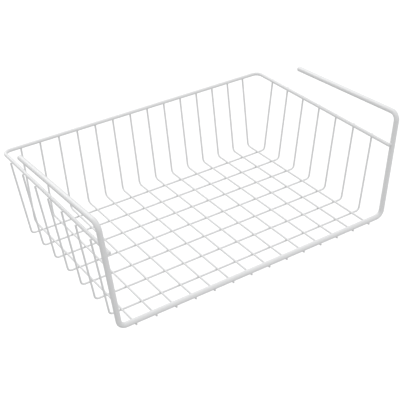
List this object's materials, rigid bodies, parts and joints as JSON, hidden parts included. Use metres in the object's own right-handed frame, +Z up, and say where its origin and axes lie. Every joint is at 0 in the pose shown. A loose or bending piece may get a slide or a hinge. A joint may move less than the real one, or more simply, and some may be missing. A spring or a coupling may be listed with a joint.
{
  "type": "under shelf basket",
  "caption": "White wire basket with a flat grid floor, leaning wire walls, a low open front and arms that slide over a shelf board, so that it hangs below the board.",
  "frame": {"origin": "middle of the footprint, on the surface that the cross wires stand on", "axes": "+X to the right seen from the open front, +Y from the front bar to the rear wall, +Z up"},
  "size_m": [0.397, 0.2624, 0.1443],
  "materials": {
    "white_powder_coat": "satin white powder coat over steel wire, thick enough to round the cut ends and fill the welds"
  },
  "bodies": {
    "root": {"front_frame": "white_powder_coat", "rim_wire": "white_powder_coat", "cross_wire_1": "white_powder_coat", "cross_wire_2": "white_powder_coat", "cross_wire_3": "white_powder_coat", "cross_wire_4": "white_powder_coat", "cross_wire_5": "white_powder_coat", "cross_wire_6": "white_powder_coat", "cross_wire_7": "white_powder_coat", "long_wire_01": "white_powder_coat", "long_wire_02": "white_powder_coat", "long_wire_03": "white_powder_coat", "long_wire_04": "white_powder_coat", "long_wire_05": "white_powder_coat", "long_wire_06": "white_powder_coat", "long_wire_07": "white_powder_coat", "long_wire_08": "white_powder_coat", "long_wire_09": "white_powder_coat", "long_wire_10": "white_powder_coat", "long_wire_11": "white_powder_coat", "long_wire_12": "white_powder_coat", "long_wire_13": "white_powder_coat", "long_wire_14": "white_powder_coat"}
  },
  "joints": []
}
